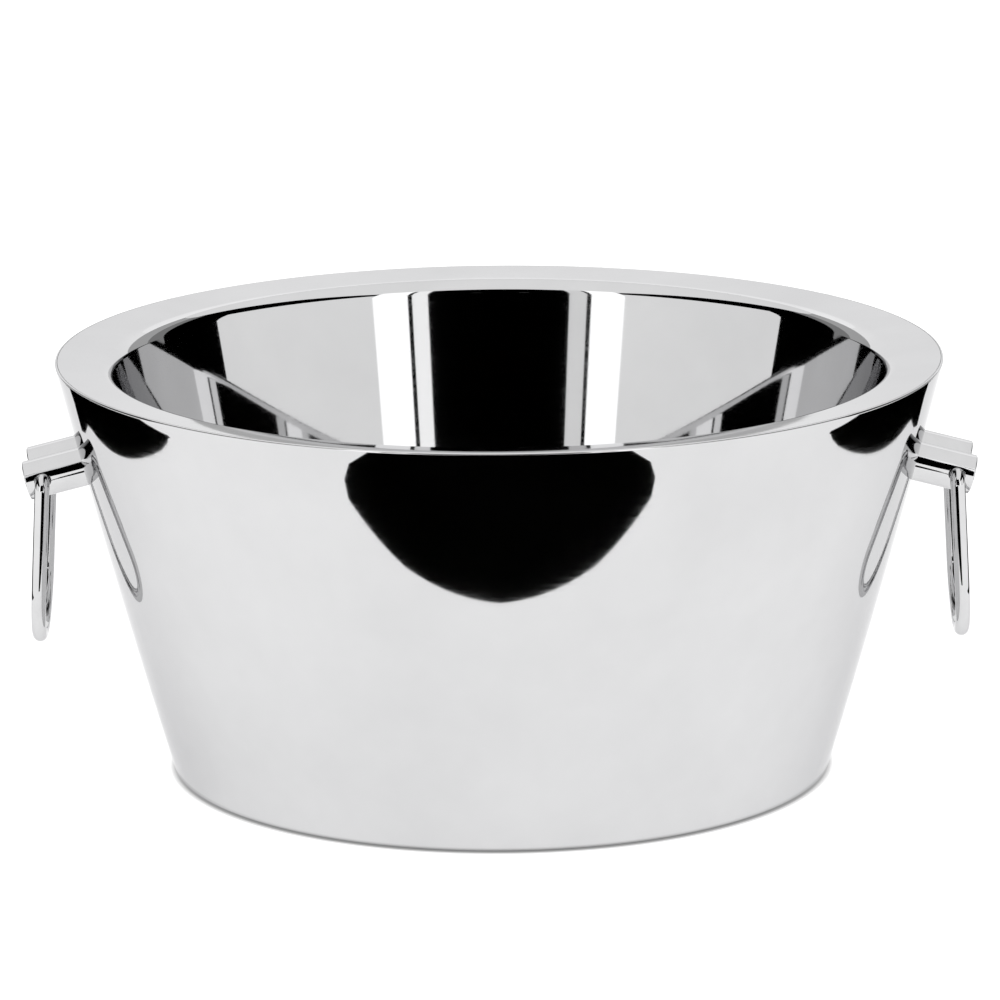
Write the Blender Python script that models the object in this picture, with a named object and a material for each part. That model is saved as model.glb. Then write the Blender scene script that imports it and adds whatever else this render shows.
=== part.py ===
"""Double-walled champagne bowl with two swinging loop handles.

The bowl stands upright on its foot, with +Z up and the origin at the middle of the foot.
One handle is on +X (right) and one on -X (left); front is -Y. Lengths are in metres.
"""
import math

import bmesh
import bpy
from mathutils import Matrix, Vector

MM = 0.001
GAP = 0.3 * MM                      # clearance between pieces that touch

SMALL_TURNS = 20                    # flats around a screw, washer or plug

# Whole bowl
RIM_RADIUS = 225 * MM
HEIGHT = 213.5 * MM
SHEET = 1.2 * MM                    # thickness of the spun sheet
TURNS = 64                          # flats around the bowl

# Outer casing: its radius falls with depth below the rim, a little faster towards the foot
TAPER = 0.243
CROWN = 0.115                       # per metre of depth
CROWN_STEPS = 4
FOOT_CORNER = 3 * MM
FOOT_STEPS = 3
FOOT_INNER_RADIUS = 150 * MM

# Inner bowl and its sloping rim
RIM_DROP = 3.2 * MM
LIP_INNER_RADIUS = 196 * MM
LIP_ROUND = 8.5 * MM
SKIRT = 8 * MM
INNER_WALL_SLOPE = 0.225
INNER_BOTTOM_HEIGHT = 24 * MM
INNER_BOTTOM_ROUND = 26 * MM
BOWL_STEPS = 5                      # in each rounded corner

# Base disc and its vent plug
BASE_RADIUS = 160 * MM
BASE_TURNS = 48
BASE_STEPS = 2
PANEL_RADIUS = 140 * MM
PANEL_RISE = 4 * MM
PANEL_ROUND = 4 * MM
VENT_RADIUS = 3 * MM
PLUG_HEAD_RADIUS = 6 * MM
PLUG_HEAD = 1.5 * MM
PLUG_EDGE = 1.5 * MM                # slope round the head's underside
PLUG_BEAD_RADIUS = 4.5 * MM

# Handle posts: square to the wall, one each side of the handle's middle plane
SEAT_DEPTH = 54 * MM                # of the posts' axes where they meet the wall, below the rim
POST_RADIUS = 10 * MM
POST_LENGTH = 29 * MM
POST_OFFSET = 16 * MM               # from the middle plane to a post's axis
POST_CHAMFER = 0.6 * MM
POST_SIDES = 36
ROOT = 8 * MM                       # surplus length inside the wall, before coping

# Handle loops
ROD_RADIUS = 3.75 * MM
HINGE_FROM_END = 9 * MM
BORE_RADIUS = ROD_RADIUS + GAP
BORE_DEPTH = 16.5 * MM
BORE_SIDES = 32
STUB_LENGTH = 15.5 * MM
ELBOW_RADIUS = 4.5 * MM
LOOP_DROP = 86 * MM                 # from the hinge axis to the middle of the rod at the bottom
LEAN = math.radians(3)              # outward lean at rest
ROD_RESOLUTION = 5
ELBOW_STEPS = 5
LOOP_ARC_STEPS = 9                  # in each quarter turn at the bottom

# Post fixings
SCREW_RADIUS = 3 * MM
SCREW_LENGTH = 18 * MM
SCREW_HEAD_RADIUS = 5 * MM
SCREW_HEAD = 4 * MM
SCREW_CHAMFER = 0.5 * MM            # at the point and round the head
SOCKET_RADIUS = 2.3 * MM
SOCKET_DEPTH = 2.2 * MM
THREAD_DEPTH = 13 * MM              # of the tapped hole, from the wall
WASHER_RADIUS = 6.5 * MM
WASHER_THICKNESS = 1.2 * MM
BAR_THICKNESS = 5 * MM              # of a backing bar at its middle
BAR_LENGTH = 60 * MM
BAR_WIDTH = 24 * MM
BAR_CORNER = 4 * MM
BAR_CORNER_STEPS = 4

# Worked out from the dimensions above
LEG_OFFSET = POST_OFFSET + POST_RADIUS + ELBOW_RADIUS
HINGE_REACH = POST_LENGTH - HINGE_FROM_END


def casing_radius(height):
    """Radius of the casing's outer surface at a height above the floor."""
    depth = HEIGHT - height
    return RIM_RADIUS - TAPER * depth - CROWN * depth ** 2


SEAT_HEIGHT = HEIGHT - SEAT_DEPTH
SEAT_RADIUS = casing_radius(SEAT_HEIGHT)
SEAT_SLOPE = math.atan(TAPER + 2 * CROWN * SEAT_DEPTH)
SIDES = {"right": 0.0, "left": math.pi}


def clear_scene():
    for item in list(bpy.data.objects):
        bpy.data.objects.remove(item, do_unlink=True)


def paint(item, colour, roughness, metallic):
    """Give the object a material of its own."""
    material = bpy.data.materials.new(item.name)
    material.use_nodes = True
    shader = material.node_tree.nodes["Principled BSDF"]
    shader.inputs["Base Color"].default_value = (*colour, 1)
    shader.inputs["Roughness"].default_value = roughness
    shader.inputs["Metallic"].default_value = metallic
    item.data.materials.append(material)


def polish(item):
    paint(item, (0.86, 0.86, 0.87), 0.06, 1.0)


def plain_steel(item):
    paint(item, (0.62, 0.62, 0.63), 0.35, 1.0)


def new_object(name, mesh_data, matrix=None):
    item = bpy.data.objects.new(name, mesh_data)
    bpy.context.collection.objects.link(item)
    if matrix is not None:
        item.matrix_world = matrix
    return item


def mesh_object(name, bm, matrix=None, sharp_angle=35):
    """Turn a bmesh into a smooth-shaded object and free the bmesh."""
    bmesh.ops.recalc_face_normals(bm, faces=bm.faces)
    mesh = bpy.data.meshes.new(name)
    bm.to_mesh(mesh)
    bm.free()
    mesh.shade_smooth()
    mesh.set_sharp_from_angle(angle=math.radians(sharp_angle))
    return new_object(name, mesh, matrix)


def rounded_path(corners, steps):
    """Points (r, z) of a polyline whose corners (r, z, radius) are rounded with tangent arcs."""
    points = [Vector(corners[0][:2])]
    for before, corner, after in zip(corners, corners[1:], corners[2:]):
        here = Vector(corner[:2])
        radius = corner[2]
        back = (Vector(before[:2]) - here).normalized()
        ahead = (Vector(after[:2]) - here).normalized()
        if radius == 0:
            points.append(here)
            continue
        half = math.acos(max(-1, min(1, back.dot(ahead)))) / 2
        centre = here + (back + ahead).normalized() * radius / math.sin(half)
        start = here + back * radius / math.tan(half)
        sweep = math.pi - 2 * half
        side = 1 if back.x * ahead.y - back.y * ahead.x < 0 else -1
        for step in range(steps + 1):
            turn = Matrix.Rotation(side * sweep * step / steps, 2)
            points.append(centre + turn @ (start - centre))
    points.append(Vector(corners[-1][:2]))
    return points


def offset_path(points, distance):
    """The same path moved sideways by a distance, to its left as it runs."""
    moved = []
    for index, point in enumerate(points):
        normals = []
        for first, second in ((index - 1, index), (index, index + 1)):
            if first >= 0 and second < len(points):
                along = (points[second] - points[first]).normalized()
                normals.append(Vector((-along.y, along.x)))
        mean = sum(normals, Vector((0, 0))).normalized()
        moved.append(point + mean * distance / mean.dot(normals[0]))
    return moved


def spin_profile(points, closed, turns):
    """Turn (r, z) points about +Z. An open profile starts and ends on the axis."""
    bm = bmesh.new()
    verts = [bm.verts.new((max(r, 0), 0, z)) for r, z in points]
    edges = [bm.edges.new(pair) for pair in zip(verts, verts[1:])]
    if closed:
        edges.append(bm.edges.new((verts[-1], verts[0])))
    bmesh.ops.spin(
        bm, geom=verts + edges, axis=(0, 0, 1), cent=(0, 0, 0),
        steps=turns, angle=2 * math.pi, use_merge=True,
    )
    bmesh.ops.remove_doubles(bm, verts=bm.verts, dist=1e-6)
    return bm


def cylinder(radius, start, end, sides=POST_SIDES, across=0.0):
    """A closed cylinder along +X from start to end, its axis moved along Y."""
    bm = bmesh.new()
    place = Matrix.Translation(((start + end) / 2, across, 0)) @ Matrix.Rotation(math.pi / 2, 4, "Y")
    bmesh.ops.create_cone(
        bm, cap_ends=True, segments=sides, radius1=radius, radius2=radius,
        depth=end - start, matrix=place,
    )
    return bm


def merge(target, source, matrix=None):
    """Add a copy of one bmesh's bodies to another."""
    mesh = bpy.data.meshes.new("merge")
    if matrix is not None:
        bmesh.ops.transform(source, matrix=matrix, verts=source.verts)
    source.to_mesh(mesh)
    source.free()
    target.from_mesh(mesh)
    bpy.data.meshes.remove(mesh)


def cutter(name, bm, matrix=None):
    item = mesh_object(name, bm, matrix)
    item.hide_render = True
    item.display_type = "WIRE"
    return item


def boolean(item, tool, operation="DIFFERENCE"):
    change = item.modifiers.new(tool.name, "BOOLEAN")
    change.operation = operation
    change.solver = "EXACT"
    change.object = tool


def seat_matrix(side):
    """Frame of one handle: +X out along the posts, Y across them, origin on the casing's surface."""
    around = Matrix.Rotation(SIDES[side], 4, "Z")
    seat = Matrix.Translation((SEAT_RADIUS, 0, SEAT_HEIGHT))
    return around @ seat @ Matrix.Rotation(SEAT_SLOPE, 4, "Y")


def posts():
    """Name, side and offset along the handle frame's Y of each of the four posts."""
    for side in SIDES:
        for place, sign in (("front", -1), ("rear", 1)):
            flip = 1 if side == "right" else -1
            yield f"{side}_{place}", side, sign * flip * POST_OFFSET


def casing_corners():
    """The casing's outer surface, from the mouth down round the foot, as rounded_path corners."""
    top = [HEIGHT * (1 - step / CROWN_STEPS) for step in range(CROWN_STEPS)]
    corners = [(casing_radius(height), height, 0) for height in top]
    corners.append((casing_radius(0), 0, FOOT_CORNER))
    corners.append((FOOT_INNER_RADIUS, 0, 0))
    return corners


def casing_solid(name, grow):
    """A closed solid of the casing's outer shape, grown or shrunk, for fitting parts to the wall."""
    wall = offset_path([Vector(corner[:2]) for corner in casing_corners()[:-1]], grow)
    points = [Vector((0, wall[0].y)), *wall, Vector((0, wall[-1].y))]
    return cutter(name, spin_profile(points, False, TURNS))


def screw_hole_cutter():
    """The four clearance holes for the post screws."""
    bm = bmesh.new()
    for _, side, across in posts():
        hole = cylinder(SCREW_RADIUS + GAP, -2 * ROOT, ROOT / 2, SMALL_TURNS, across)
        merge(bm, hole, seat_matrix(side))
    return cutter("screw_hole_cutter", bm)


def build_outer_shell(holes):
    outside = rounded_path(casing_corners(), FOOT_STEPS)
    inside = offset_path(outside, -SHEET)
    inside[0].y = HEIGHT
    shell = mesh_object("outer_shell", spin_profile(outside + inside[::-1], True, TURNS))
    boolean(shell, holes)
    polish(shell)


def build_inner_bowl():
    """Skirt, sloping rim, lip, wall and bottom, pressed from one sheet."""
    tuck = SHEET + GAP
    skirt_top = (RIM_RADIUS - tuck, HEIGHT)
    skirt_foot = (casing_radius(HEIGHT - SKIRT) - tuck, HEIGHT - SKIRT)
    lip = (LIP_INNER_RADIUS, HEIGHT - RIM_DROP)
    depth = lip[1] - INNER_BOTTOM_HEIGHT
    bottom = (lip[0] - INNER_WALL_SLOPE * depth, INNER_BOTTOM_HEIGHT)
    seen = rounded_path([
        (*skirt_foot, 0),
        (*skirt_top, 0),
        (*lip, LIP_ROUND),
        (*bottom, INNER_BOTTOM_ROUND),
        (0, INNER_BOTTOM_HEIGHT, 0),
    ], BOWL_STEPS)
    hidden = offset_path(seen, SHEET)
    bowl = mesh_object("inner_bowl", spin_profile(seen[::-1] + hidden, False, TURNS))
    polish(bowl)


def build_base_disc():
    """A disc on the foot flange, with a raised panel round the vent hole."""
    low = SHEET + GAP
    under = rounded_path([
        (BASE_RADIUS, low, 0),
        (PANEL_RADIUS + PANEL_RISE, low, PANEL_ROUND),
        (PANEL_RADIUS, low + PANEL_RISE, PANEL_ROUND),
        (VENT_RADIUS, low + PANEL_RISE, 0),
    ], BASE_STEPS)
    over = offset_path(under, -SHEET)
    disc = mesh_object("base_disc", spin_profile(under + over[::-1], True, BASE_TURNS))
    plain_steel(disc)


def build_vent_plug():
    """A push-in plug: a head below the panel, a stem through it and a bead above."""
    panel = SHEET + GAP + PANEL_RISE
    stem = VENT_RADIUS - GAP
    head_top = panel - GAP
    bead_foot = panel + SHEET + GAP
    bead_top = bead_foot + PLUG_BEAD_RADIUS - stem
    profile = [
        (0, bead_top),
        (stem, bead_top),
        (PLUG_BEAD_RADIUS, bead_foot),
        (stem, bead_foot),
        (stem, head_top),
        (PLUG_HEAD_RADIUS, head_top),
        (PLUG_HEAD_RADIUS - PLUG_EDGE, head_top - PLUG_HEAD),
        (0, head_top - PLUG_HEAD),
    ]
    plug = mesh_object("base_vent_plug", spin_profile(profile, False, SMALL_TURNS))
    paint(plug, (0.03, 0.03, 0.03), 0.6, 0.0)


def chamfer_end(bm, position, width):
    """Bevel the rim edges that lie at one position along X."""
    ends = [edge for edge in bm.edges if min(vert.co.x for vert in edge.verts) > position - GAP]
    bmesh.ops.bevel(bm, geom=ends, offset=width, segments=2, profile=0.5, affect="EDGES", material=-1)


def build_post(label, side, across, wall):
    """A round post, coped to the wall, tapped from inside and cross-drilled for the loop."""
    frame = seat_matrix(side)
    body = cylinder(POST_RADIUS, -ROOT, POST_LENGTH, across=across)
    chamfer_end(body, POST_LENGTH, POST_CHAMFER)
    post = mesh_object(f"{label}_post", body, frame)
    holes = cylinder(SCREW_RADIUS + GAP, -2 * ROOT, THREAD_DEPTH, SMALL_TURNS, across)
    outward = math.copysign(1, across)
    bore = bmesh.new()
    middle = across + outward * (POST_RADIUS + (ROOT - BORE_DEPTH) / 2)
    place = Matrix.Translation((HINGE_REACH, middle, 0)) @ Matrix.Rotation(math.pi / 2, 4, "X")
    bmesh.ops.create_cone(
        bore, cap_ends=True, segments=BORE_SIDES, radius1=BORE_RADIUS, radius2=BORE_RADIUS,
        depth=BORE_DEPTH + ROOT, matrix=place,
    )
    merge(holes, bore)
    drill = cutter(f"{label}_post_drill", holes, frame)
    boolean(post, wall)
    boolean(post, drill)
    polish(post)


def loop_path():
    """Middle line of a loop in its own plane (y, z), hinge axis at z = 0, from stub to stub."""
    stub_end = LEG_OFFSET - ELBOW_RADIUS - STUB_LENGTH
    corners = [
        (stub_end, 0, 0),
        (LEG_OFFSET, 0, ELBOW_RADIUS),
        (LEG_OFFSET, -LOOP_DROP + LEG_OFFSET, 0),
    ]
    half = rounded_path(corners, ELBOW_STEPS)
    for step in range(1, LOOP_ARC_STEPS + 1):
        angle = math.pi / 2 * step / LOOP_ARC_STEPS
        below = LEG_OFFSET - LOOP_DROP - LEG_OFFSET * math.sin(angle)
        half.append(Vector((LEG_OFFSET * math.cos(angle), below)))
    other = [Vector((-point.x, point.y)) for point in half[-2::-1]]
    return half + other


def build_loop(side):
    """A U of round rod whose turned-in ends sit in the posts' cross holes."""
    rod = bpy.data.curves.new(f"{side}_handle_loop", "CURVE")
    rod.dimensions = "3D"
    rod.bevel_depth = ROD_RADIUS
    rod.bevel_resolution = ROD_RESOLUTION
    rod.use_fill_caps = True
    route = loop_path()
    line = rod.splines.new("POLY")
    line.points.add(len(route) - 1)
    for point, (across, height) in zip(line.points, route):
        point.co = (0, across, height, 1)
    hinge = seat_matrix(side) @ Vector((HINGE_REACH, 0, 0))
    turn = Matrix.Rotation(SIDES[side], 4, "Z") @ Matrix.Rotation(-LEAN, 4, "Y")
    loop = new_object(f"{side}_handle_loop", rod, Matrix.Translation(hinge) @ turn)
    polish(loop)


def build_backing_bar(side, holes, inside):
    """A bar in the double wall: flat where the washers sit, curved where it meets the casing."""
    flat = -SHEET - GAP - BAR_THICKNESS
    bm = bmesh.new()
    length = BAR_THICKNESS + ROOT
    size = Matrix.Diagonal((length, BAR_LENGTH, BAR_WIDTH, 1))
    bmesh.ops.create_cube(bm, size=1, matrix=Matrix.Translation((flat + length / 2, 0, 0)) @ size)
    along = [edge for edge in bm.edges if abs(edge.verts[0].co.x - edge.verts[1].co.x) > length / 2]
    bmesh.ops.bevel(
        bm, geom=along, offset=BAR_CORNER, segments=BAR_CORNER_STEPS,
        profile=0.5, affect="EDGES", material=-1,
    )
    bar = mesh_object(f"{side}_backing_bar", bm, seat_matrix(side))
    boolean(bar, inside, "INTERSECT")
    boolean(bar, holes)
    plain_steel(bar)


def build_washer(label, side, across):
    face = -SHEET - 2 * GAP - BAR_THICKNESS
    ring = [
        (WASHER_RADIUS, 0),
        (SCREW_RADIUS + GAP, 0),
        (SCREW_RADIUS + GAP, WASHER_THICKNESS),
        (WASHER_RADIUS, WASHER_THICKNESS),
    ]
    place = Matrix.Translation((face, across, 0)) @ Matrix.Rotation(-math.pi / 2, 4, "Y")
    turned = spin_profile(ring, True, SMALL_TURNS)
    washer = mesh_object(f"{label}_post_washer", turned, seat_matrix(side) @ place)
    plain_steel(washer)


def build_screw(label, side, across):
    """A socket-head screw, turned in one profile, with its socket left as a round recess."""
    seat = -SHEET - 3 * GAP - BAR_THICKNESS - WASHER_THICKNESS
    profile = [
        (0, -SCREW_LENGTH),
        (SCREW_RADIUS - SCREW_CHAMFER, -SCREW_LENGTH),
        (SCREW_RADIUS, -SCREW_LENGTH + SCREW_CHAMFER),
        (SCREW_RADIUS, 0),
        (SCREW_HEAD_RADIUS, 0),
        (SCREW_HEAD_RADIUS, SCREW_HEAD - SCREW_CHAMFER),
        (SCREW_HEAD_RADIUS - SCREW_CHAMFER, SCREW_HEAD),
        (SOCKET_RADIUS, SCREW_HEAD),
        (SOCKET_RADIUS, SCREW_HEAD - SOCKET_DEPTH),
        (0, SCREW_HEAD - SOCKET_DEPTH),
    ]
    place = Matrix.Translation((seat, across, 0)) @ Matrix.Rotation(-math.pi / 2, 4, "Y")
    turned = spin_profile(profile, False, SMALL_TURNS)
    screw = mesh_object(f"{label}_post_screw", turned, seat_matrix(side) @ place)
    plain_steel(screw)


def main():
    clear_scene()
    holes = screw_hole_cutter()
    wall = casing_solid("wall_cutter", GAP)
    inside = casing_solid("inside_cutter", -SHEET - GAP)
    build_outer_shell(holes)
    build_inner_bowl()
    build_base_disc()
    build_vent_plug()
    for label, side, across in posts():
        build_post(label, side, across, wall)
        build_washer(label, side, across)
        build_screw(label, side, across)
    for side in SIDES:
        build_backing_bar(side, holes, inside)
        build_loop(side)


main()
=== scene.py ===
"""A double-walled champagne bowl with two swinging loop handles, on a pale studio floor."""
import math

import bmesh
import bpy
from mathutils import Matrix, Vector


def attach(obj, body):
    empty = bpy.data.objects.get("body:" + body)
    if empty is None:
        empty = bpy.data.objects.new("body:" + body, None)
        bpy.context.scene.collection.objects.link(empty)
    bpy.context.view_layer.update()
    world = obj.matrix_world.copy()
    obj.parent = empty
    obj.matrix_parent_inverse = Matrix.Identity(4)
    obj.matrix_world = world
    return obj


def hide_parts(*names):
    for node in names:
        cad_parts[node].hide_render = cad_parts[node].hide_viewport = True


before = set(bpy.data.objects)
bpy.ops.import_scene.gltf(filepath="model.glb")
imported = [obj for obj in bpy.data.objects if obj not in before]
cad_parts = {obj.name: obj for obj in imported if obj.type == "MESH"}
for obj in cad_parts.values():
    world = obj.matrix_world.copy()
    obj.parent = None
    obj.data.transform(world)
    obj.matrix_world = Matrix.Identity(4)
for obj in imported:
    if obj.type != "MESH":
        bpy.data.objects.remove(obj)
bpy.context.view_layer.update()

MM = 0.001

# The bowl's casing
RIM_RADIUS = 225 * MM
HEIGHT = 213.5 * MM
SHEET = 1.2 * MM
GAP = 0.3 * MM
TAPER = 0.243
CROWN = 0.115                       # per metre
FOOT_CORNER = 3 * MM
FOOT_INNER_RADIUS = 150 * MM
MOUTH_ROUND = 0.9 * MM              # of the polished edge where casing and rim meet
MOUTH_OVERLAP = 0.2 * MM            # of the casing's edge over the rim

# The rim and inner bowl
RIM_DROP = 3.2 * MM
LIP_INNER_RADIUS = 196 * MM
LIP_ROUND = 8.5 * MM
SKIRT = 8 * MM
INNER_WALL_SLOPE = 0.225
INNER_BOTTOM_HEIGHT = 24 * MM
INNER_BOTTOM_ROUND = 26 * MM

# The disc and plug under the foot
BASE_RADIUS = 160 * MM
PANEL_RADIUS = 140 * MM
PANEL_RISE = 4 * MM
PANEL_ROUND = 4 * MM
VENT_RADIUS = 3 * MM
PLUG_HEAD_RADIUS = 6 * MM
PLUG_HEAD = 1.5 * MM
PLUG_EDGE = 1.35 * MM
PLUG_BEAD_RADIUS = 4.5 * MM

# The posts
SEAT_DEPTH = 54 * MM
POST_RADIUS = 10 * MM
POST_LENGTH = 29 * MM
POST_OFFSET = 16 * MM
POST_ROUND = 0.7 * MM               # of the outer end's edge
POST_ROOT = 4 * MM                  # of the post that is sunk behind the casing's surface
HINGE_FROM_END = 9 * MM
BORE_RADIUS = 4.05 * MM
BORE_DEPTH = 16.5 * MM
BORE_FLARE = 0.4 * MM               # the broken edge at the bore's mouth

# The handle loops
ROD_RADIUS = 3.75 * MM
ROD_END_ROUND = 0.5 * MM
STUB_LENGTH = 15.5 * MM
ELBOW_RADIUS = 4.5 * MM
LOOP_DROP = 86 * MM
LEAN = math.radians(3)

# How finely the round shapes are divided
TURNS = 256
SMALL_TURNS = 96
CROWN_STEPS = 28
ARC_STEPS = 10
ROD_SIDES = 40
ELBOW_STEPS = 14
LOOP_STEPS = 72
FLOOR_SIDES = 64
TENT_SUBDIVISIONS = 4
MERGE = 1e-6
SHARP_ANGLE = math.radians(40)

# Mirror-polished steel
POLISHED_DARK = (0.58, 0.58, 0.585)
POLISHED_LIGHT = (0.63, 0.63, 0.635)
POLISHED_EDGE = (0.74, 0.74, 0.745)  # keeps the glancing edges from turning white
POLISHED_ROUGHNESS = (0.02, 0.07)
POLISHED_STREAK = 0.02              # length of a buffing mark's noise across, against along
POLISHED_RING = 0.0002 * MM         # height of the buffing rings
WALL_WAVE = 0.01 * MM               # height of the slow waves in the spun walls
WALL_RINGS = 900                    # per metre, as are all scales of marks and clouds
CASING_CLOUDS = 9
INNER_BOWL_CLOUDS = 11
SMALL_WAVE = 0.001 * MM
SMALL_CLOUDS = 40
POST_RINGS = 2500
ROD_RINGS = 700
WAVES_TO_CLOUDS = 1.7

# Satin steel
SATIN_DARK = (0.55, 0.55, 0.57)
SATIN_LIGHT = (0.66, 0.66, 0.67)
SATIN_ROUGHNESS = (0.26, 0.42)
SATIN_STREAK = 0.05
SATIN_RING = 0.02 * MM
SATIN_CLOUDS = 30
DISC_RINGS = 1500
SCREW_RINGS = 5000
BAR_RINGS = 2500

# Moulded rubber
RUBBER_CLEAN = (0.022, 0.022, 0.022)
RUBBER_DUSTY = (0.045, 0.045, 0.043)
RUBBER_ROUGHNESS = (0.55, 0.75)
RUBBER_GRAINS = 1800
RUBBER_GRAIN = 0.03 * MM
RUBBER_DUST = 140

# Worked out from the dimensions above
LEG_OFFSET = POST_OFFSET + POST_RADIUS + ELBOW_RADIUS
HINGE_REACH = POST_LENGTH - HINGE_FROM_END
SIDES = {"right": 0.0, "left": math.pi}
PLACES = ("front", "rear")


def casing_radius(height):
    """Radius of the casing's outer surface at a height above the floor."""
    depth = HEIGHT - height
    return RIM_RADIUS - TAPER * depth - CROWN * depth ** 2


SEAT_HEIGHT = HEIGHT - SEAT_DEPTH
SEAT_RADIUS = casing_radius(SEAT_HEIGHT)
SEAT_SLOPE = math.atan(TAPER + 2 * CROWN * SEAT_DEPTH)


def seat_matrix(side):
    """Frame of one handle: +X out along the posts, Y across, origin on the casing's surface."""
    around = Matrix.Rotation(SIDES[side], 4, "Z")
    seat = Matrix.Translation((SEAT_RADIUS, 0, SEAT_HEIGHT))
    return around @ seat @ Matrix.Rotation(SEAT_SLOPE, 4, "Y")


def hinge_matrix(side):
    """Frame of one loop: Y along its hinge, -Z down its legs, leaning out a little at rest."""
    hinge = seat_matrix(side) @ Vector((HINGE_REACH, 0, 0))
    around = Matrix.Rotation(SIDES[side], 4, "Z")
    return Matrix.Translation(hinge) @ around @ Matrix.Rotation(-LEAN, 4, "Y")


def post_sign(side, place):
    """Which way across its seat a post stands, 1 or -1."""
    return 1 if (side == "right") == (place == "rear") else -1


def post_axis(sign):
    """Frame of one post in its seat: +Z out along the post."""
    return Matrix.Translation((0, sign * POST_OFFSET, 0)) @ Matrix.Rotation(math.pi / 2, 4, "Y")


# ---------------------------------------------------------------- shapes


def rounded_path(corners, steps=ARC_STEPS):
    """Points (r, z) of a polyline whose corners (r, z, radius) are rounded with tangent arcs."""
    points = [Vector(corners[0][:2])]
    for before, corner, after in zip(corners, corners[1:], corners[2:]):
        here = Vector(corner[:2])
        radius = corner[2]
        if radius == 0:
            points.append(here)
            continue
        back = (Vector(before[:2]) - here).normalized()
        ahead = (Vector(after[:2]) - here).normalized()
        half = math.acos(max(-1, min(1, back.dot(ahead)))) / 2
        centre = here + (back + ahead).normalized() * radius / math.sin(half)
        start = here + back * radius / math.tan(half)
        sweep = math.pi - 2 * half
        side = 1 if back.x * ahead.y - back.y * ahead.x < 0 else -1
        for step in range(steps + 1):
            turn = Matrix.Rotation(side * sweep * step / steps, 2)
            points.append(centre + turn @ (start - centre))
    points.append(Vector(corners[-1][:2]))
    return points


def offset_path(points, distance):
    """The same path moved sideways by a distance, to its left as it runs."""
    moved = []
    for index, point in enumerate(points):
        normals = []
        for first, second in ((index - 1, index), (index, index + 1)):
            if first >= 0 and second < len(points):
                along = (points[second] - points[first]).normalized()
                normals.append(Vector((-along.y, along.x)))
        mean = sum(normals, Vector((0, 0))).normalized()
        moved.append(point + mean * distance / mean.dot(normals[0]))
    return moved


def spin_profile(points, closed, turns=TURNS):
    """Turn (r, z) points about +Z. An open profile starts and ends on the axis."""
    bm = bmesh.new()
    verts = [bm.verts.new((max(r, 0), 0, z)) for r, z in points]
    edges = [bm.edges.new(pair) for pair in zip(verts, verts[1:])]
    if closed:
        edges.append(bm.edges.new((verts[-1], verts[0])))
    bmesh.ops.spin(
        bm, geom=verts + edges, axis=(0, 0, 1), cent=(0, 0, 0),
        steps=turns, angle=2 * math.pi, use_merge=True,
    )
    return bm


def casing_profile():
    """The casing's sheet: over the polished mouth, down the crowned wall and round the foot."""
    heights = [HEIGHT * (1 - step / CROWN_STEPS) for step in range(1, CROWN_STEPS)]
    tuck = SHEET + GAP - MOUTH_OVERLAP
    outside = rounded_path([
        (RIM_RADIUS - tuck, HEIGHT, 0),
        (RIM_RADIUS, HEIGHT, MOUTH_ROUND),
        *[(casing_radius(height), height, 0) for height in heights],
        (casing_radius(0), 0, FOOT_CORNER),
        (FOOT_INNER_RADIUS, 0, 0),
    ])
    inside = offset_path(outside[ARC_STEPS + 2:], -SHEET)
    return outside + inside[::-1]


def inner_bowl_profile():
    """Skirt, sloping rim, round lip, wall and bottom, pressed from one sheet."""
    tuck = SHEET + GAP
    lip = (LIP_INNER_RADIUS, HEIGHT - RIM_DROP)
    depth = lip[1] - INNER_BOTTOM_HEIGHT
    bottom = (lip[0] - INNER_WALL_SLOPE * depth, INNER_BOTTOM_HEIGHT)
    seen = rounded_path([
        (casing_radius(HEIGHT - SKIRT) - tuck, HEIGHT - SKIRT, 0),
        (RIM_RADIUS - tuck, HEIGHT, 0),
        (*lip, LIP_ROUND),
        (*bottom, INNER_BOTTOM_ROUND),
        (0, INNER_BOTTOM_HEIGHT, 0),
    ])
    return seen[::-1] + offset_path(seen, SHEET)


def foot_disc_profile():
    """The disc on the foot flange, with its raised panel round the vent hole."""
    low = SHEET + GAP
    under = rounded_path([
        (BASE_RADIUS, low, 0),
        (PANEL_RADIUS + PANEL_RISE, low, PANEL_ROUND),
        (PANEL_RADIUS, low + PANEL_RISE, PANEL_ROUND),
        (VENT_RADIUS, low + PANEL_RISE, 0),
    ])
    return under + offset_path(under, -SHEET)[::-1]


def plug_profile():
    """A push-in plug: a domed head below the panel, a stem through it and a bead above."""
    panel = SHEET + GAP + PANEL_RISE
    stem = VENT_RADIUS - GAP
    head_top = panel - GAP
    bead_foot = panel + SHEET + GAP
    return rounded_path([
        (0, head_top - PLUG_HEAD, 0),
        (PLUG_HEAD_RADIUS, head_top - PLUG_HEAD, PLUG_EDGE),
        (PLUG_HEAD_RADIUS, head_top, 0),
        (stem, head_top, 0),
        (stem, bead_foot, 0),
        (PLUG_BEAD_RADIUS, bead_foot + GAP, GAP),
        (stem, bead_foot + PLUG_BEAD_RADIUS - stem, 0),
        (0, bead_foot + PLUG_BEAD_RADIUS - stem, 0),
    ])


def turned_bar(length, radius, edge):
    """A bar turned about +Z from below the floor of its seat to a rounded free end."""
    profile = rounded_path([
        (0, length, 0),
        (radius, length, edge),
        (radius, -POST_ROOT, 0),
        (0, -POST_ROOT, 0),
    ])
    return spin_profile(profile, False, SMALL_TURNS)


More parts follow.
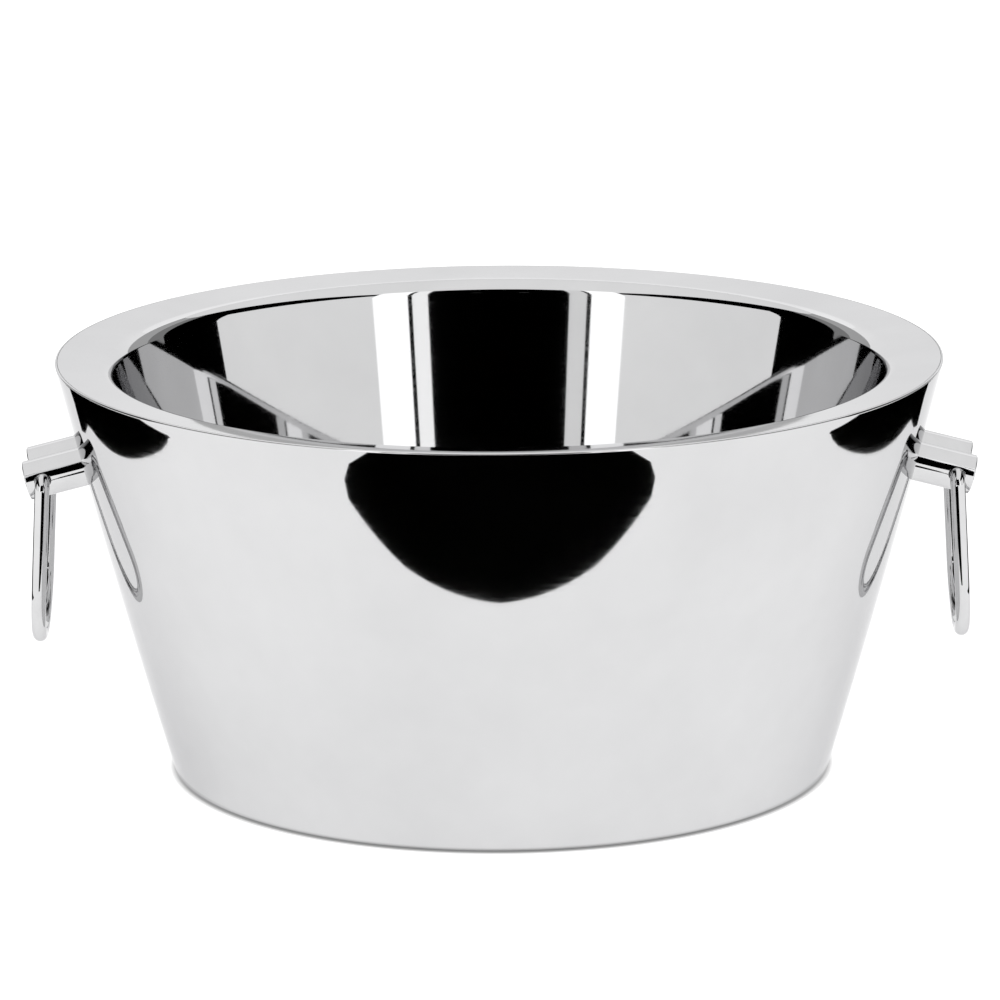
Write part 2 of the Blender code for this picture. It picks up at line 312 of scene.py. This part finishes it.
def bore_tool(flip):
    """The blind cross bore and its broken edge, cut into a post from its outer face."""
    face = POST_OFFSET + POST_RADIUS
    profile = rounded_path([
        (0, face - BORE_DEPTH, 0),
        (BORE_RADIUS, face - BORE_DEPTH, 0),
        (BORE_RADIUS, face - BORE_FLARE, 0),
        (BORE_RADIUS + 2 * BORE_FLARE, face + BORE_FLARE, 0),
        (BORE_RADIUS + 2 * BORE_FLARE, face + POST_RADIUS, 0),
        (0, face + POST_RADIUS, 0),
    ])
    bm = spin_profile(profile, False, SMALL_TURNS)
    across = Matrix.Rotation(-flip * math.pi / 2, 4, "X")
    place = Matrix.Translation((HINGE_REACH, 0, 0)) @ across
    bmesh.ops.transform(bm, matrix=place, verts=bm.verts)
    return bm


def ring_edges(bm, ring):
    """The edges between the vertices of a rod's open ring."""
    members = set(ring)
    return [edge for edge in bm.edges if members.issuperset(edge.verts)]


def extend_rod(bm, ring, move, scale=1.0):
    """Push the open ring of a rod on by a move, and scale it about its middle."""
    grown = bmesh.ops.extrude_edge_only(bm, edges=ring_edges(bm, ring))["geom"]
    verts = [item for item in grown if isinstance(item, bmesh.types.BMVert)]
    bmesh.ops.translate(bm, verts=verts, vec=move)
    middle = sum((vert.co for vert in verts), Vector()) / len(verts)
    bmesh.ops.scale(bm, verts=verts, vec=(scale,) * 3, space=Matrix.Translation(-middle))
    return verts


def bend_rod(bm, ring, centre, angle, steps):
    """Take the open ring of a rod round an arc in the loop's plane."""
    bent = bmesh.ops.spin(
        bm, geom=list(ring) + ring_edges(bm, ring), axis=(1, 0, 0), cent=centre,
        steps=steps, angle=angle, use_merge=False,
    )["geom_last"]
    return [item for item in bent if isinstance(item, bmesh.types.BMVert)]


def handle_rod():
    """The U-shaped loop: stub, elbow, leg, half turn, leg, elbow and stub."""
    bm = bmesh.new()
    elbow = LEG_OFFSET - ELBOW_RADIUS
    stub_end = elbow - STUB_LENGTH
    turn = Matrix.Translation((0, stub_end, 0)) @ Matrix.Rotation(math.pi / 2, 4, "X")
    start = bmesh.ops.create_circle(
        bm, cap_ends=True, segments=ROD_SIDES, radius=ROD_RADIUS - ROD_END_ROUND, matrix=turn,
    )["verts"]
    grow = ROD_RADIUS / (ROD_RADIUS - ROD_END_ROUND)
    leg = LOOP_DROP - LEG_OFFSET - ELBOW_RADIUS
    quarter = math.pi / 2
    ring = extend_rod(bm, start, (0, ROD_END_ROUND, 0), grow)
    ring = extend_rod(bm, ring, (0, STUB_LENGTH - ROD_END_ROUND, 0))
    ring = bend_rod(bm, ring, (0, elbow, -ELBOW_RADIUS), -quarter, ELBOW_STEPS)
    ring = extend_rod(bm, ring, (0, 0, -leg))
    ring = bend_rod(bm, ring, (0, 0, LEG_OFFSET - LOOP_DROP), -math.pi, LOOP_STEPS)
    ring = extend_rod(bm, ring, (0, 0, leg))
    ring = bend_rod(bm, ring, (0, -elbow, -ELBOW_RADIUS), -quarter, ELBOW_STEPS)
    ring = extend_rod(bm, ring, (0, STUB_LENGTH - ROD_END_ROUND, 0))
    ring = extend_rod(bm, ring, (0, ROD_END_ROUND, 0), 1 / grow)
    bmesh.ops.contextual_create(bm, geom=ring)
    return bm


def add_object(name, bm):
    """Turn a bmesh into a smooth-shaded object and free the bmesh."""
    bmesh.ops.remove_doubles(bm, verts=bm.verts, dist=MERGE)
    bmesh.ops.recalc_face_normals(bm, faces=bm.faces)
    mesh = bpy.data.meshes.new(name)
    bm.to_mesh(mesh)
    bm.free()
    mesh.shade_smooth()
    mesh.set_sharp_from_angle(angle=SHARP_ANGLE)
    item = bpy.data.objects.new(name, mesh)
    bpy.context.scene.collection.objects.link(item)
    return item


def add_piece(name, bm, material, slot, body, *nodes):
    """A finished piece that rides on a body and stands for CAD nodes."""
    piece = add_object(name, bm)
    piece.data.materials.append(material)
    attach(piece, body)
    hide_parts(*nodes)
    return piece


def cut_away(bm, tool):
    """The first bmesh with the second cut out of it. Both are freed."""
    body = add_object("cut_body", bm)
    cutter = add_object("cut_tool", tool)
    change = body.modifiers.new("cut", "BOOLEAN")
    change.operation = "DIFFERENCE"
    change.solver = "EXACT"
    change.object = cutter
    evaluated = body.evaluated_get(bpy.context.evaluated_depsgraph_get())
    left = bmesh.new()
    left.from_mesh(evaluated.to_mesh())
    evaluated.to_mesh_clear()
    for item in (body, cutter):
        bpy.data.objects.remove(item, do_unlink=True)
    return left


# ---------------------------------------------------------------- finishes


def add_node(tree, kind, **values):
    """A shader node with its settings, or its sockets by name, filled in."""
    node = tree.nodes.new("ShaderNode" + kind)
    for name, value in values.items():
        socket = name.replace("_", " ").title()
        if hasattr(node, name):
            setattr(node, name, value)
        else:
            node.inputs[socket].default_value = value
    return node


def new_material(name):
    """An empty material with a Principled shader, and its object coordinates."""
    material = bpy.data.materials.new(name)
    material.use_nodes = True
    tree = material.node_tree
    shader = tree.nodes["Principled BSDF"]
    coordinates = add_node(tree, "TexCoord")
    return material, tree, shader, coordinates.outputs["Object"]


def noise(tree, vector, scale, detail=2.0, roughness=0.5):
    """A noise pattern's factor."""
    node = add_node(tree, "TexNoise", scale=scale, detail=detail, roughness=roughness)
    tree.links.new(vector, node.inputs["Vector"])
    return node.outputs["Fac"]


def spread(tree, factor, low, high, start=0.3, end=0.7):
    """Carry a factor from start..end to low..high."""
    node = add_node(tree, "MapRange")
    for socket, value in (("From Min", start), ("From Max", end), ("To Min", low), ("To Max", high)):
        node.inputs[socket].default_value = value
    tree.links.new(factor, node.inputs["Value"])
    return node.outputs["Result"]


def tint(tree, factor, dark, light, start=0.3, end=0.7):
    """A colour between dark and light, by a factor."""
    ramp = add_node(tree, "ValToRGB")
    ramp.color_ramp.elements[0].position = start
    ramp.color_ramp.elements[1].position = end
    ramp.color_ramp.elements[0].color = (*dark, 1)
    ramp.color_ramp.elements[1].color = (*light, 1)
    tree.links.new(factor, ramp.inputs["Fac"])
    return ramp.outputs["Color"]


def bump(tree, height, distance, below=None):
    """A bump of a real height in metres, on top of another bump."""
    node = add_node(tree, "Bump", strength=1.0, distance=distance)
    tree.links.new(height, node.inputs["Height"])
    if below is not None:
        tree.links.new(below, node.inputs["Normal"])
    return node.outputs["Normal"]


def turned_coordinates(tree, objects, place):
    """Coordinates for turning and polishing marks that run round +Z of a piece's own place."""
    back = place.inverted()
    mapping = add_node(tree, "Mapping")
    mapping.inputs["Location"].default_value = back.to_translation()
    mapping.inputs["Rotation"].default_value = back.to_euler()
    tree.links.new(objects, mapping.inputs["Vector"])
    parts = add_node(tree, "SeparateXYZ")
    tree.links.new(mapping.outputs["Vector"], parts.inputs["Vector"])
    flat = add_node(tree, "CombineXYZ")
    tree.links.new(parts.outputs["X"], flat.inputs["X"])
    tree.links.new(parts.outputs["Y"], flat.inputs["Y"])
    radius = add_node(tree, "VectorMath", operation="LENGTH")
    tree.links.new(flat.outputs["Vector"], radius.inputs[0])
    along = add_node(tree, "Math", operation="ADD")
    tree.links.new(radius.outputs["Value"], along.inputs[0])
    tree.links.new(parts.outputs["Z"], along.inputs[1])
    tree.links.new(along.outputs["Value"], flat.inputs["Z"])
    return flat.outputs["Vector"]


def stretched(tree, vector, sideways, along):
    """Coordinates scaled by one factor across and another along Z."""
    node = add_node(tree, "VectorMath", operation="MULTIPLY")
    node.inputs[1].default_value = (sideways, sideways, along)
    tree.links.new(vector, node.inputs[0])
    return node.outputs["Vector"]


def polished_steel(name, place, cloud_scale, ring_scale, wave_height):
    """Mirror-polished stainless steel with buffing rings, faint clouds and a slight waviness."""
    material, tree, shader, objects = new_material(name)
    turned = turned_coordinates(tree, objects, place)
    marks = stretched(tree, turned, POLISHED_STREAK * ring_scale, ring_scale)
    rings = noise(tree, marks, 1.0, 3.0, 0.6)
    clouds = noise(tree, objects, cloud_scale, 4.0, 0.6)
    waves = noise(tree, objects, cloud_scale * WAVES_TO_CLOUDS, 1.0, 0.4)
    shader.inputs["Metallic"].default_value = 1.0
    shader.inputs["Specular Tint"].default_value = (*POLISHED_EDGE, 1)
    colour = tint(tree, clouds, POLISHED_DARK, POLISHED_LIGHT)
    tree.links.new(colour, shader.inputs["Base Color"])
    mixed = add_node(tree, "Math", operation="MULTIPLY")
    tree.links.new(rings, mixed.inputs[0])
    tree.links.new(clouds, mixed.inputs[1])
    roughness = spread(tree, mixed.outputs["Value"], *POLISHED_ROUGHNESS, 0.1, 0.5)
    tree.links.new(roughness, shader.inputs["Roughness"])
    normal = bump(tree, waves, wave_height)
    normal = bump(tree, rings, POLISHED_RING, normal)
    tree.links.new(normal, shader.inputs["Normal"])
    return material


def plain_steel(name, place, ring_scale):
    """Stainless steel as rolled or turned: satin, with fine rings and a few dull clouds."""
    material, tree, shader, objects = new_material(name)
    turned = turned_coordinates(tree, objects, place)
    marks = stretched(tree, turned, SATIN_STREAK * ring_scale, ring_scale)
    rings = noise(tree, marks, 1.0, 4.0, 0.7)
    clouds = noise(tree, objects, SATIN_CLOUDS, 3.0)
    shader.inputs["Metallic"].default_value = 1.0
    colour = tint(tree, clouds, SATIN_DARK, SATIN_LIGHT)
    tree.links.new(colour, shader.inputs["Base Color"])
    tree.links.new(spread(tree, rings, *SATIN_ROUGHNESS), shader.inputs["Roughness"])
    tree.links.new(bump(tree, rings, SATIN_RING), shader.inputs["Normal"])
    return material


def plug_rubber():
    """Moulded black rubber, dull, with a fine grain and a little dust."""
    material, tree, shader, objects = new_material("moulded_plug_rubber")
    grain = noise(tree, objects, RUBBER_GRAINS, 3.0)
    dust = noise(tree, objects, RUBBER_DUST, 3.0)
    colour = tint(tree, dust, RUBBER_CLEAN, RUBBER_DUSTY)
    tree.links.new(colour, shader.inputs["Base Color"])
    tree.links.new(spread(tree, dust, *RUBBER_ROUGHNESS), shader.inputs["Roughness"])
    tree.links.new(bump(tree, grain, RUBBER_GRAIN), shader.inputs["Normal"])
    return material


# ---------------------------------------------------------------- the bowl and its handles


def build_bowl():
    """The casing, inner bowl, foot disc and plug, all turned about +Z."""
    upright = Matrix()
    casing_finish = polished_steel(
        "buffed_casing_steel", upright, CASING_CLOUDS, WALL_RINGS, WALL_WAVE,
    )
    bowl_finish = polished_steel(
        "buffed_inner_bowl_steel", upright, INNER_BOWL_CLOUDS, WALL_RINGS, WALL_WAVE,
    )
    disc_finish = plain_steel("rolled_foot_disc_steel", upright, DISC_RINGS)
    add_piece(
        "polished_casing", spin_profile(casing_profile(), True), casing_finish,
        "polished_steel", "bowl", "outer_shell",
    )
    add_piece(
        "rim_and_inner_bowl", spin_profile(inner_bowl_profile(), False), bowl_finish,
        "polished_steel", "bowl", "inner_bowl",
    )
    add_piece(
        "foot_disc", spin_profile(foot_disc_profile(), True), disc_finish,
        "plain_steel", "bowl", "base_disc",
    )
    add_piece(
        "vent_plug", spin_profile(plug_profile(), False, SMALL_TURNS), plug_rubber(),
        "plug_rubber", "bowl", "base_vent_plug",
    )


def build_handle(side):
    """Two cross-drilled posts and the loop that swings in them."""
    seat = seat_matrix(side)
    for place in PLACES:
        sign = post_sign(side, place)
        axis = post_axis(sign)
        post = turned_bar(POST_LENGTH, POST_RADIUS, POST_ROUND)
        bmesh.ops.transform(post, matrix=axis, verts=post.verts)
        post = cut_away(post, bore_tool(sign))
        bmesh.ops.transform(post, matrix=seat, verts=post.verts)
        name = f"{side}_{place}_post"
        finish = polished_steel(
            f"{name}_steel", seat @ axis, SMALL_CLOUDS, POST_RINGS, SMALL_WAVE,
        )
        add_piece(f"turned_{name}", post, finish, "polished_steel", "bowl", name)
    hinge = hinge_matrix(side)
    rod = handle_rod()
    bmesh.ops.transform(rod, matrix=hinge, verts=rod.verts)
    finish = polished_steel(
        f"{side}_handle_rod_steel", hinge, SMALL_CLOUDS, ROD_RINGS, SMALL_WAVE,
    )
    add_piece(
        f"{side}_handle_rod", rod, finish, "polished_steel",
        f"{side}_handle", f"{side}_handle_loop",
    )


def paint_node(name, material):
    """Give a CAD node a finish in every material slot it has."""
    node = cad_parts[name]
    if not node.material_slots:
        node.data.materials.append(material)
    for slot in node.material_slots:
        slot.material = material


def finish_fixings():
    """Satin steel on the screws, washers and backing bars inside the double wall."""
    for side in SIDES:
        seat = seat_matrix(side)
        for place in PLACES:
            axis = seat @ post_axis(post_sign(side, place))
            steel = plain_steel(f"{side}_{place}_screw_steel", axis, SCREW_RINGS)
            for kind in ("screw", "washer"):
                paint_node(f"{side}_{place}_post_{kind}", steel)
        steel = plain_steel(f"{side}_bar_steel", seat, BAR_RINGS)
        paint_node(f"{side}_backing_bar", steel)


# ---------------------------------------------------------------- the studio

CAMERA_DISTANCE = 3.15
CAMERA_ELEVATION = math.radians(12.207)
CAMERA_PITCH = math.radians(13.564)
CAMERA_ROLL = math.radians(-0.382)
CAMERA_LENS = 223.6                 # millimetres, as is the sensor's width
CAMERA_SENSOR = 36
CAMERA_SEES_TO = 100

FLOOR_RADIUS = 12.0
FLOOR_DROP = 0.2 * MM               # of the floor's surface below the foot
FLOOR_WHITE = (0.92, 0.92, 0.92)
FLOOR_DULLER = (0.9016, 0.9016, 0.9016)
FLOOR_CLOUDS = 3
FLOOR_ROUGHNESS = 0.95
FLOOR_GLOW = 0.72                   # the floor is a lit table, so the bowl casts hardly a shadow
DAYLIGHT = 0.62
TENT_RADIUS = 11.0
PANEL_DISTANCE = 6.0
PANEL_STEPS = 12

# Soft panels that stand round the bowl: name, from and to which side angle, from and to which
# height angle, and glow. The side angle is in degrees from the camera's side, positive to the right.
PANELS = (
    ("right_inner_strip", 22.5, 27.6, 0, 80, 1.40),
    ("right_outer_strip", 29.0, 40.5, 0, 80, 1.75),
    ("right_wide_wall", 40.5, 97.5, 0, 27, 1.08),
    ("right_rear_shade", 124, 134, 0, 40, 0.28),
    ("right_rear_grey", 134, 150, 0, 40, 0.55),
    ("left_inner_strip", -28.2, -22.5, 0, 80, 0.98),
    ("left_outer_strip", -40.5, -29.6, 0, 80, 1.75),
    ("left_wide_wall", -97.5, -40.5, 0, 27, 1.08),
    ("left_rear_shade", -134, -124, 0, 40, 0.28),
    ("left_rear_grey", -150, -134, 0, 40, 0.55),
    ("rear_skirting", 150, 210, 0, 4, 0.60),
    ("rear_wall", 150, 210, 4, 29, 1.28),
    ("rear_top", 150, 210, 29, 42, 1.40),
    ("far_lamp_right", 5.5, 8.5, 20.6, 21.8, 0.05),
    ("far_lamp_left", -9.5, -6.5, 20.6, 21.8, 0.08),
)

# A soft ceiling over the bowl: its corners (x, y), height and glow
CEILING = ((-4.6, -5.6), (4.6, -5.6), (4.6, 5.4), (-4.6, 5.4))
CEILING_HEIGHT = 5.0
CEILING_GLOW = 1.10

# Black flags on the floor, as corners (x, y), that only show in the steel
FRONT_FLAG = (
    (-0.25, -2.2), (0.25, -2.2), (0.25, -0.378), (0.235, -0.366),
    (0.13, -0.352), (0, -0.346), (-0.13, -0.352), (-0.235, -0.366), (-0.25, -0.378),
)
SIDE_FLAG = (
    (0.505, 0.325), (0.503, -0.04), (0.506, -0.064), (0.514, -0.078), (0.526, -0.073),
    (0.545, -0.045), (0.585, 0.01), (1.2, 0.79), (1.2, 1.3), (0.98, 1.2),
    (0.46, 0.44), (0.475, 0.395), (0.502, 0.355),
)
FLAG_LIFT = 1 * MM

# A painted contact shadow: the floor's colour and glow are darker along the line where the foot
# rests on it: from and to which radius, how dark
CONTACT_FROM = 167 * MM
CONTACT_TO = 171 * MM
CONTACT_SHADE = 0.35


def add_camera():
    """A long lens in front of the bowl and a little above it, aimed at its middle."""
    data = bpy.data.cameras.new("camera")
    data.lens = CAMERA_LENS
    data.sensor_width = CAMERA_SENSOR
    data.clip_end = CAMERA_SEES_TO
    camera = bpy.data.objects.new("camera", data)
    away = CAMERA_DISTANCE * math.cos(CAMERA_ELEVATION)
    up = HEIGHT + CAMERA_DISTANCE * math.sin(CAMERA_ELEVATION)
    tilt = Matrix.Rotation(math.pi / 2 - CAMERA_PITCH, 4, "X")
    roll = Matrix.Rotation(CAMERA_ROLL, 4, "Z")
    camera.matrix_world = Matrix.Translation((0, -away, up)) @ tilt @ roll
    bpy.context.scene.collection.objects.link(camera)
    bpy.context.scene.camera = camera


def add_stage(name, bm, material):
    """A thing of the studio, which isn't part of the bowl."""
    mesh = bpy.data.meshes.new(name)
    bm.to_mesh(mesh)
    bm.free()
    mesh.materials.append(material)
    thing = bpy.data.objects.new(name, mesh)
    bpy.context.scene.collection.objects.link(thing)
    return thing


def add_reflection(name, bm, glow):
    """A black or softly glowing shape that only shows in the polished steel."""
    material = bpy.data.materials.new(name + "_face")
    material.use_nodes = True
    tree = material.node_tree
    tree.nodes.remove(tree.nodes["Principled BSDF"])
    light = add_node(tree, "Emission", strength=glow)
    tree.links.new(light.outputs["Emission"], tree.nodes["Material Output"].inputs["Surface"])
    thing = add_stage(name, bm, material)
    thing.visible_camera = False
    thing.visible_diffuse = False
    thing.visible_shadow = False


def floor_white():
    """Matt white board with a barely uneven surface, with a painted contact shadow where the foot
    rests on it.
    """
    material, tree, shader, objects = new_material("floor_white")
    clouds = noise(tree, objects, FLOOR_CLOUDS, 2.0)
    radius = add_node(tree, "VectorMath", operation="LENGTH")
    tree.links.new(objects, radius.inputs[0])
    # Painted contact shadow: colour and glow fall to CONTACT_SHADE in a ring round the foot
    painted_shadow_factor = spread(tree, radius.outputs["Value"], CONTACT_SHADE, 1, CONTACT_FROM, CONTACT_TO)
    colour = add_node(tree, "VectorMath", operation="MULTIPLY")
    tree.links.new(tint(tree, clouds, FLOOR_DULLER, FLOOR_WHITE), colour.inputs[0])
    tree.links.new(painted_shadow_factor, colour.inputs[1])
    tree.links.new(colour.outputs["Vector"], shader.inputs["Base Color"])
    tree.links.new(painted_shadow_factor, shader.inputs["Emission Color"])
    shader.inputs["Emission Strength"].default_value = FLOOR_GLOW
    shader.inputs["Roughness"].default_value = FLOOR_ROUGHNESS
    shader.inputs["Specular IOR Level"].default_value = 0.0
    return material


def add_panel(name, side_from, side_to, low, high, glow):
    """A soft panel on a circle round the bowl."""
    heights = [PANEL_DISTANCE * math.tan(math.radians(angle)) for angle in (low, high)]
    bm = bmesh.new()
    foot, top = (bm.verts.new((0, -PANEL_DISTANCE, height)) for height in heights)
    edge = bm.edges.new((foot, top))
    start = Matrix.Rotation(math.radians(side_from), 4, "Z")
    bmesh.ops.transform(bm, matrix=start, verts=bm.verts)
    bmesh.ops.spin(
        bm, geom=[foot, top, edge], axis=(0, 0, 1), cent=(0, 0, 0), steps=PANEL_STEPS,
        angle=math.radians(side_to - side_from), use_merge=False,
    )
    add_reflection(name, bm, glow)


def add_flat_card(name, corners, height, glow, flip=1):
    """A level card over or on the floor."""
    bm = bmesh.new()
    bm.faces.new([bm.verts.new((flip * x, y, height)) for x, y in corners])
    add_reflection(name, bm, glow)


def build_studio():
    """A white floor in even light, with a dark tent and soft panels for the steel to mirror."""
    bpy.context.scene.view_settings.view_transform = "Standard"
    world = bpy.data.worlds.new("studio")
    bpy.context.scene.world = world
    world.use_nodes = True
    sky = world.node_tree.nodes["Background"]
    sky.inputs["Color"].default_value = (1, 1, 1, 1)
    sky.inputs["Strength"].default_value = DAYLIGHT
    floor = bmesh.new()
    bmesh.ops.create_circle(floor, cap_ends=True, segments=FLOOR_SIDES, radius=FLOOR_RADIUS)
    bmesh.ops.translate(floor, verts=floor.verts, vec=(0, 0, -FLOOR_DROP))
    add_stage("floor", floor, floor_white())
    tent = bmesh.new()
    bmesh.ops.create_icosphere(tent, subdivisions=TENT_SUBDIVISIONS, radius=TENT_RADIUS)
    add_reflection("dark_tent", tent, 0.0)
    for panel in PANELS:
        add_panel(*panel)
    add_flat_card("ceiling", CEILING, CEILING_HEIGHT, CEILING_GLOW)
    add_flat_card("front_flag", FRONT_FLAG, FLAG_LIFT, 0.0)
    for side, flip in (("right", 1), ("left", -1)):
        add_flat_card(f"{side}_flag", SIDE_FLAG, FLAG_LIFT, 0.0, flip)


build_bowl()
for side in SIDES:
    build_handle(side)
finish_fixings()
add_camera()
build_studio()
